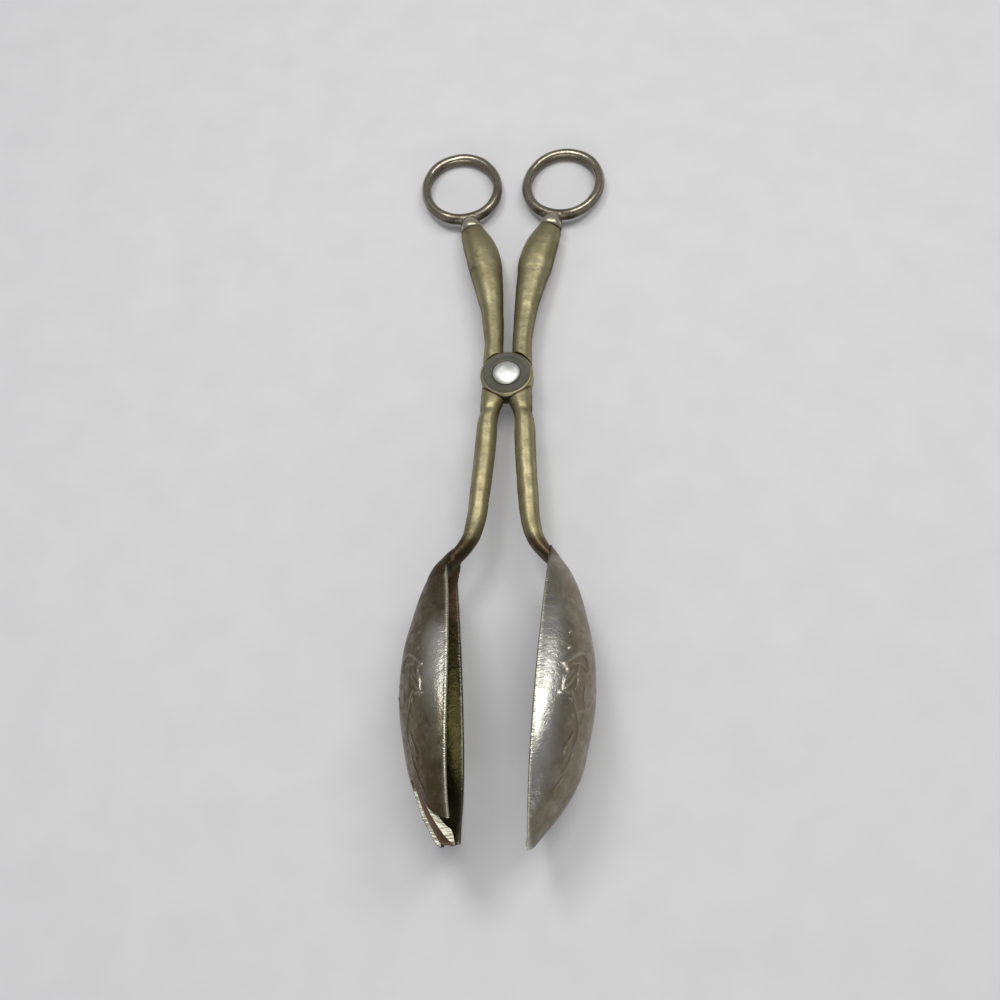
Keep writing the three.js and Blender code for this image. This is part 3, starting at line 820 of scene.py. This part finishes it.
def bowl_attributes(obj, form, lower):
    points = points_of(obj)
    normals = normals_of(obj)
    u, v, w = points.T
    along = np.clip((-v - BOWL_START) / BOWL_LENGTH, 0, 1)
    half, depth, _, rim, worn = bowl_section(form, along, 0)
    rim = rim + worn * (w < 0)
    # A lighter band along the rims, as worn metal and as a painted highlight; on the fork it is
    # weaker along the far rim
    edge = np.exp(-((u - rim) / 0.8) ** 2) * smoothstep(0.05, 0.15, along)
    if lower:
        edge = edge * np.where(w > 0, 0.35, 1)
    set_attribute(obj, "edge", edge)
    radial = np.stack([u - rim - depth * 0.1, w * 0.9], axis=1)
    outside = (normals[:, [0, 2]] * radial).sum(axis=1) > 0
    # Painted shade: the inside of the bowl is painted dark, browner toward the throat
    set_attribute(obj, "inside", ~outside & (edge < 0.5))
    set_attribute(obj, "throat", smoothstep(0.26, 0.14, along))
    # The slot walls are painted light, as bare sawn metal and as a painted highlight
    set_attribute(obj, "cut", cut_faces(v, w) if lower else np.zeros(len(points)))
    on_tine = smoothstep(6.2, 7, -w) * smoothstep(10.4, 9.8, -w) * smoothstep(0.76, 0.9, along)
    set_attribute(obj, "tine", on_tine * outside * lower)
    angles = np.arctan2(np.abs(w) / np.maximum(half, 0.1), (u - rim) / np.maximum(depth, 0.1))
    raised = flank_relief(points[None], angles[None])[0] - 0.1
    set_attribute(obj, "raised", 0.35 * np.clip(raised / 0.25, 0, 1) * outside)
    # Painted highlight: a light band on the outside next to the rim, along the middle of the bowl
    low, full, fade, end = (0.28, 0.4, 0.48, 0.68) if lower else (0.2, 0.36, 0.82, 0.97)
    middle = smoothstep(low, full, along) * (1 - smoothstep(fade, end, along))
    set_attribute(obj, "polish_and_highlight", smoothstep(52, 76, np.degrees(angles)) * middle * outside)
    # Painted shade: the outside turns brown where it faces sideways toward the keel
    set_attribute(obj, "keel", smoothstep(0.25, 0.95, np.abs(normals[:, 0])) * outside)
    # Darker toward the neck and toward the tip
    neck = smoothstep(0.5, 0.1, along) if lower else 0.6 * smoothstep(0.1, 0.0, along)
    tip = (0.75 if lower else 0.35) * smoothstep(0.74, 0.9, along)
    set_attribute(obj, "grime_and_shade", np.clip(0.85 * neck + tip, 0, 1))


# ---------------------------------------------------------------- materials

class Nodes:
    """A short way to write a material's nodes."""

    def __init__(self, name):
        self.material = bpy.data.materials.new(name)
        self.material.use_nodes = True
        self.tree = self.material.node_tree
        self.tree.nodes.clear()
        self.output = self.tree.nodes.new("ShaderNodeOutputMaterial")
        self.shader = self.tree.nodes.new("ShaderNodeBsdfPrincipled")
        self.link(self.shader.outputs["BSDF"], self.output.inputs["Surface"])
        self.coords = self.tree.nodes.new("ShaderNodeTexCoord").outputs["Object"]

    def link(self, source, target):
        self.tree.links.new(source, target)

    def feed(self, value, target):
        if hasattr(value, "links"):
            self.link(value, target)
        else:
            target.default_value = value

    def attribute(self, name):
        node = self.tree.nodes.new("ShaderNodeAttribute")
        node.attribute_name = name
        return node.outputs["Fac"]

    def mapped(self, scale, turn=(0, 0, 0)):
        node = self.tree.nodes.new("ShaderNodeMapping")
        node.inputs["Scale"].default_value = scale
        node.inputs["Rotation"].default_value = turn
        self.link(self.coords, node.inputs["Vector"])
        return node.outputs["Vector"]

    def noise(self, scale, detail=4, rough=0.55, vector=None, distortion=0):
        node = self.tree.nodes.new("ShaderNodeTexNoise")
        node.inputs["Scale"].default_value = scale
        node.inputs["Detail"].default_value = detail
        node.inputs["Roughness"].default_value = rough
        node.inputs["Distortion"].default_value = distortion
        self.link(vector if vector is not None else self.coords, node.inputs["Vector"])
        return node.outputs["Fac"]

    def math(self, operation, a, b=0.0, clamp=False):
        node = self.tree.nodes.new("ShaderNodeMath")
        node.operation = operation
        node.use_clamp = clamp
        self.feed(a, node.inputs[0])
        self.feed(b, node.inputs[1])
        return node.outputs[0]

    def remap(self, value, low, high, to_low=0.0, to_high=1.0):
        node = self.tree.nodes.new("ShaderNodeMapRange")
        node.clamp = True
        self.link(value, node.inputs["Value"])
        node.inputs["From Min"].default_value = low
        node.inputs["From Max"].default_value = high
        node.inputs["To Min"].default_value = to_low
        node.inputs["To Max"].default_value = to_high
        return node.outputs["Result"]

    def mix(self, factor, a, b):
        node = self.tree.nodes.new("ShaderNodeMix")
        node.data_type = "RGBA"
        self.feed(factor, node.inputs["Factor"])
        self.feed((*a, 1) if isinstance(a, tuple) else a, node.inputs["A"])
        self.feed((*b, 1) if isinstance(b, tuple) else b, node.inputs["B"])
        return node.outputs["Result"]

    def bump(self, height, strength, distance, normal=None):
        node = self.tree.nodes.new("ShaderNodeBump")
        node.inputs["Strength"].default_value = strength
        node.inputs["Distance"].default_value = distance
        self.link(height, node.inputs["Height"])
        if normal is not None:
            self.link(normal, node.inputs["Normal"])
        return node.outputs["Normal"]

    def scratches(self, turn, stretch, scale, width):
        """Thin lines along a direction: 1 on a line and 0 elsewhere."""
        vector = self.mapped((1, stretch, 1), (0, 0, turn))
        wave = self.noise(scale, 2, 0.5, vector)
        gap = self.math("ABSOLUTE", self.math("SUBTRACT", wave, 0.5))
        return self.remap(gap, 0, width, 1, 0)


# Colours that the finishes share, painted shade and painted highlights among them
POLISH_AND_HIGHLIGHT_BRASS = (0.62, 0.58, 0.44)
DARK_NECK_BROWNS = (0.15, 0.115, 0.062), (0.08, 0.055, 0.028)
DISC_SHADE = (0.085, 0.082, 0.053), (0.045, 0.041, 0.023)
ARM_GRIME_AND_SHADE = (0.028, 0.02, 0.011)
BOWL_GRIME_AND_SHADE = (0.062, 0.043, 0.016)
SCRATCH = (0.7, 0.67, 0.58)
WORN_RELIEF = (0.62, 0.58, 0.48)
TINE_BROWN = (0.15, 0.083, 0.048)
THROAT_SHADE = (0.1, 0.062, 0.035)
RIM_WEAR_AND_HIGHLIGHT = (0.5, 0.48, 0.38)
SAWN_AND_HIGHLIT = (0.4, 0.38, 0.25), (0.95, 0.94, 0.84)


def brass(name, light, dark, stain, roughness):
    n = Nodes(name)
    broad = n.noise(90, 5, 0.6)
    fine = n.noise(900, 4, 0.6)
    mottled = n.remap(broad, 0.35, 0.7)
    color = n.mix(mottled, light, stain)
    # The rings' collars are lighter, as worn polish and as a painted highlight
    color = n.mix(n.attribute("polish_and_highlight"), color, POLISH_AND_HIGHLIGHT_BRASS)
    # Painted shade on the sides of arms and rings, broken up in patches
    side_shade_patches = n.remap(broad, 0.2, 0.65, 0.75, 1.1)
    side_shade = n.math("MULTIPLY", n.attribute("flank"), side_shade_patches, True)
    color = n.mix(side_shade, color, dark)
    color = n.mix(n.remap(fine, 0.56, 0.7, 0, 0.45), color, dark)
    # The end of the shank toward the bowl is dark brown
    color = n.mix(n.attribute("dark_neck"), color, n.mix(mottled, *DARK_NECK_BROWNS))
    # Painted shade: the face of the disc is painted dark
    color = n.mix(n.attribute("disc"), color, n.mix(mottled, *DISC_SHADE))
    # Painted shade round the disc, in the waist and under the shank; darker patches along the
    # handle's step and where the rings' collars meet hoop and handle
    patchy = n.remap(fine, 0.25, 0.6, 0.55, 1.0)
    grime_and_shade = n.math("MULTIPLY", n.attribute("grime_and_shade"), patchy, True)
    color = n.mix(grime_and_shade, color, ARM_GRIME_AND_SHADE)
    n.link(color, n.shader.inputs["Base Color"])
    # The face of the disc is painted as a dull dark non-metal, for painted shade; the rest is bare
    # metal
    bare = n.math("SUBTRACT", 1.0, n.attribute("disc"))
    n.link(bare, n.shader.inputs["Metallic"])
    rough = n.remap(broad, 0.3, 0.7, roughness - 0.05, roughness + 0.1)
    rough = n.math("ADD", rough, n.math("MULTIPLY", side_shade, 0.14))
    rough = n.math("ADD", rough, n.math("MULTIPLY", grime_and_shade, 0.25))
    n.link(rough, n.shader.inputs["Roughness"])
    normal = n.bump(fine, 0.35, 0.00014)
    normal = n.bump(n.noise(260, 3, 0.5), 0.35, 0.0004, normal)
    n.link(normal, n.shader.inputs["Normal"])
    return n.material


def plate(name, silver, warm, brown, inside, bright):
    n = Nodes(name)
    broad = n.noise(55, 6, 0.62, distortion=0.4)
    middle = n.noise(240, 5, 0.6)
    fine = n.noise(1500, 3, 0.6)
    color = n.mix(n.remap(broad, 0.38, 0.68), silver, warm)
    # Painted shade: brown in patches where the outside faces toward the keel
    keel_shade_patches = n.remap(middle, 0.3, 0.62, 0.35, 0.95)
    keel = n.math("MULTIPLY", n.attribute("keel"), keel_shade_patches, True)
    color = n.mix(keel, color, brown)
    color = n.mix(n.remap(middle, 0.52, 0.72, 0, 0.6), color, warm)
    blotch = n.noise(150, 4, 0.55, distortion=0.8)
    color = n.mix(n.remap(blotch, 0.48, 0.62, 0, 0.6), color, brown)
    flecks = n.noise(420, 4, 0.65, n.mapped((1, 0.6, 1)))
    color = n.mix(n.remap(flecks, 0.56, 0.7, 0, 0.2), color, bright)
    # Painted highlight along the outside next to the rims, uneven in patches
    uneven = n.remap(middle, 0.25, 0.7, 1.0, 0.5)
    polish_and_highlight = n.math("MULTIPLY", n.attribute("polish_and_highlight"), uneven, True)
    color = n.mix(polish_and_highlight, color, bright)
    # The bowls are darker toward the neck and the tip, in patches
    patchy = n.remap(middle, 0.25, 0.65, 0.6, 1.0)
    grime_and_shade = n.math("MULTIPLY", n.attribute("grime_and_shade"), patchy, True)
    color = n.mix(grime_and_shade, color, BOWL_GRIME_AND_SHADE)
    scratches = n.scratches(0.25, 0.05, 500, 0.008)
    scratches = n.math("MULTIPLY", scratches, n.remap(middle, 0.45, 0.65, 0, 0.6))
    color = n.mix(n.math("MULTIPLY", scratches, 0.25), color, SCRATCH)
    color = n.mix(n.attribute("raised"), color, WORN_RELIEF)
    color = n.mix(n.attribute("tine"), color, TINE_BROWN)
    # Painted shade inside the bowls, browner in the throat
    hollow = n.mix(n.attribute("throat"), inside, THROAT_SHADE)
    color = n.mix(n.attribute("inside"), color, hollow)
    # The rims are lighter, as worn metal and as a painted highlight
    color = n.mix(n.attribute("edge"), color, RIM_WEAR_AND_HIGHLIGHT)
    # The slot walls are light, as bare sawn metal and as a painted highlight, streaked by saw
    # marks
    marks = n.noise(2100, 2, 0.5, n.mapped((0.15, 1, 0.15)))
    sawn_and_highlit = n.mix(n.remap(marks, 0.38, 0.62), *SAWN_AND_HIGHLIT)
    color = n.mix(n.attribute("cut"), color, sawn_and_highlit)
    n.link(color, n.shader.inputs["Base Color"])
    n.shader.inputs["Metallic"].default_value = 1
    rough = n.remap(middle, 0.3, 0.7, 0.25, 0.38)
    rough = n.math("ADD", rough, n.math("MULTIPLY", keel, 0.08))
    rough = n.math("ADD", rough, n.math("MULTIPLY", grime_and_shade, 0.15))
    rough = n.math("ADD", rough, n.math("MULTIPLY", n.attribute("cut"), 0.15))
    n.link(rough, n.shader.inputs["Roughness"])
    normal = n.bump(fine, 0.6, 0.0001)
    normal = n.bump(middle, 0.8, 0.0003, normal)
    normal = n.bump(blotch, 0.3, 0.0006, normal)
    # File marks along the rims and saw marks across the slots
    worked = n.math("MAXIMUM", n.attribute("edge"), n.attribute("cut"))
    normal = n.bump(n.math("MULTIPLY", marks, worked), 0.9, 0.0006, normal)
    n.link(normal, n.shader.inputs["Normal"])
    return n.material


def bright_metal(name, color, stain, roughness):
    n = Nodes(name)
    middle = n.noise(320, 4, 0.6)
    stained = n.mix(n.remap(middle, 0.45, 0.72), color, stain)
    n.link(stained, n.shader.inputs["Base Color"])
    n.shader.inputs["Metallic"].default_value = 1
    rough = n.remap(middle, 0.3, 0.7, roughness, roughness + 0.14)
    n.link(rough, n.shader.inputs["Roughness"])
    n.link(n.bump(n.noise(1100, 3, 0.6), 0.2, 0.00008), n.shader.inputs["Normal"])
    return n.material


# ---------------------------------------------------------------- assembly of pieces

def settle(obj, node, body, material, lower):
    """A finished piece: put into the row frame, given its finish, and set on its body."""
    points = points_of(obj)
    if lower:
        points = points * HALF_TURN
    set_points(obj, to_row(points))
    obj.data.shade_smooth()
    obj.data.set_sharp_from_angle(angle=math.radians(38))
    obj.data.materials.clear()
    obj.data.materials.append(material)
    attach(obj, body)
    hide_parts(node)


arm_metal = brass(
    "worn_brass", light=(0.42, 0.383, 0.222), dark=(0.09, 0.07, 0.036),
    stain=(0.27, 0.235, 0.125), roughness=0.42,
)
ring_metal = brass(
    "ring_brass", light=(0.44, 0.4, 0.31), dark=(0.1, 0.078, 0.05),
    stain=(0.22, 0.19, 0.13), roughness=0.24,
)
# The spoon and the fork have the same plate; the fork's copy is painted darker as painted shade,
# with a lighter colour for its painted highlight
spoon_metal = plate(
    "worn_plate", silver=(0.38, 0.355, 0.29), warm=(0.27, 0.235, 0.17),
    brown=(0.2, 0.165, 0.11), inside=(0.1, 0.085, 0.045), bright=(0.5, 0.5, 0.48),
)
fork_metal = plate(
    "shaded_plate", silver=(0.25, 0.225, 0.15), warm=(0.15, 0.12, 0.07),
    brown=(0.1, 0.07, 0.038), inside=(0.03, 0.027, 0.01), bright=(0.72, 0.71, 0.66),
)
rivet_metal = bright_metal("rivet_silver", (0.72, 0.72, 0.69), (0.5, 0.5, 0.46), 0.4)
burr_metal = bright_metal("burr_brass", (0.5, 0.46, 0.34), (0.3, 0.26, 0.16), 0.36)

for half, ring_side, form, lower, seed in (
    ("front", "left", SPOON_FORM, False, 3), ("rear", "right", FORK_FORM, True, 8),
):
    arm = arm_piece("arm_" + half, form, seed)
    arm_attributes(arm)
    settle(arm, half + "_arm", half + "_half", arm_metal, lower)
    ring = ring_piece("finger_ring_" + ring_side, seed + 2)
    ring_attributes(ring)
    settle(ring, ring_side + "_finger_ring", half + "_half", ring_metal, lower)

spoon = bowl_sheet("bowl_spoon", SPOON_FORM)
bowl_attributes(spoon, SPOON_FORM, False)
settle(spoon, "spoon_bowl", "front_half", spoon_metal, False)
fork = fork_piece("bowl_fork")
bowl_attributes(fork, FORK_FORM, True)
settle(fork, "fork_bowl", "rear_half", fork_metal, True)

rivet = rivet_piece("rivet")
settle(rivet, "pivot_rivet", "rear_half", rivet_metal, False)
burr = burr_piece("burr")
settle(burr, "rivet_burr", "rear_half", burr_metal, False)

# The solids that the pieces stand for are hidden, and carry the same finishes
NODE_METALS = {
    "front_arm": arm_metal, "rear_arm": arm_metal, "left_finger_ring": ring_metal,
    "right_finger_ring": ring_metal, "spoon_bowl": spoon_metal, "fork_bowl": fork_metal,
    "pivot_rivet": rivet_metal, "rivet_burr": burr_metal,
}
for node, metal in NODE_METALS.items():
    solid = frame["nodes"][node]
    solid.data.materials.clear()
    solid.data.materials.append(metal)

# ---------------------------------------------------------------- floor, lights, camera

FLOOR_HALF = 6
FLOOR_GAP = 0.0002
# The hinge leans, so the spoon sinks as it swings out: there the floor falls gently away
FLOOR_FALL = 0.0058
FALL_START, FALL_END = 0.03, 0.12
FALL_STEPS = 25
FLOOR_GREYS = (0.63, 0.63, 0.64), (0.66, 0.66, 0.67)


def floor_material():
    n = Nodes("floor_paper")
    grain = n.remap(n.noise(60, 3, 0.5), 0.3, 0.7)
    n.link(n.mix(grain, *FLOOR_GREYS), n.shader.inputs["Base Color"])
    n.shader.inputs["Roughness"].default_value = 0.85
    return n.material


def floor_sheet():
    across = [-FLOOR_HALF, *np.linspace(FALL_START, FALL_END, FALL_STEPS), FLOOR_HALF]
    heights = -FLOOR_GAP - FLOOR_FALL * smoothstep(FALL_START, FALL_END, across)
    points = [(x, y, z) for y in (-FLOOR_HALF, FLOOR_HALF) for x, z in zip(across, heights)]
    row = len(across)
    faces = [(i, i + 1, row + i + 1, row + i) for i in range(row - 1)]
    return new_object("floor", points, faces, closed=False)


floor = floor_sheet()
floor.data.shade_smooth()
floor.data.materials.append(floor_material())


def softbox(name, place, aim, size, power, color=(1, 1, 1)):
    light = bpy.data.lights.new(name, "AREA")
    light.shape = "RECTANGLE"
    light.size, light.size_y = size
    light.energy = power
    light.color = color
    obj = bpy.data.objects.new(name, light)
    bpy.context.scene.collection.objects.link(obj)
    obj.location = place
    obj.rotation_euler = (Vector(aim) - Vector(place)).to_track_quat("-Z", "Y").to_euler()


softbox("right_key", (0.25, 0.17, 0.91), (0, -0.03, 0.02), (0.36, 0.9), 4.8, (1, 0.985, 0.955))
softbox("left_window", (-0.22, 0.29, 0.88), (0, -0.05, 0.02), (0.24, 0.34), 2.5)
softbox("front_strip", (0, -1.15, 0.42), (0, -0.05, 0), (1.8, 0.25), 4.2)

world = bpy.data.worlds.new("studio")
world.use_nodes = True
bpy.context.scene.world = world
sky = world.node_tree.nodes["Background"]
sky.inputs["Color"].default_value = (0.78, 0.79, 0.82, 1)
sky.inputs["Strength"].default_value = 0.36

# The camera looks down the tongs from the bowls' end: tilt, yaw and roll in the tongs' own frame
CAMERA_DISTANCE = 388
CAMERA_FOCAL_PX = 1100
IMAGE_PX = 1000
SENSOR_MM = 36
PIVOT_PX = (507.2, 376)
TILT = math.radians(28)
YAW = math.radians(1.5)
ROLL = math.radians(5.5)
HINGE_SHIFT = np.array([0, 0.8, 0])

turned_v = np.array([-math.sin(YAW), math.cos(YAW), 0])
turned_u = np.array([math.cos(YAW), math.sin(YAW), 0])
turned_w = math.sin(ROLL) * turned_u + np.array([0, 0, math.cos(ROLL)])
right = math.cos(ROLL) * turned_u - np.array([0, 0, math.sin(ROLL)])
up = math.cos(TILT) * turned_v + math.sin(TILT) * turned_w
forward = math.sin(TILT) * turned_v - math.cos(TILT) * turned_w
shift_x = (PIVOT_PX[0] - IMAGE_PX / 2) * CAMERA_DISTANCE / CAMERA_FOCAL_PX
shift_y = (IMAGE_PX / 2 - PIVOT_PX[1]) * CAMERA_DISTANCE / CAMERA_FOCAL_PX
centre = HINGE_SHIFT - (shift_x * right + shift_y * up + CAMERA_DISTANCE * forward)
camera_data = bpy.data.cameras.new("camera")
camera_data.sensor_width = SENSOR_MM
camera_data.lens = CAMERA_FOCAL_PX / IMAGE_PX * SENSOR_MM
camera_data.clip_start = 0.01
camera = bpy.data.objects.new("camera", camera_data)
bpy.context.scene.collection.objects.link(camera)
camera_axes = np.array([right, up, -forward]) @ TONGS_AXES
rotation = Matrix(camera_axes.T.tolist()).to_4x4()
camera.matrix_world = Matrix.Translation(Vector(to_row([centre])[0])) @ rotation
bpy.context.scene.camera = camera

bpy.context.scene.view_settings.view_transform = "Standard"
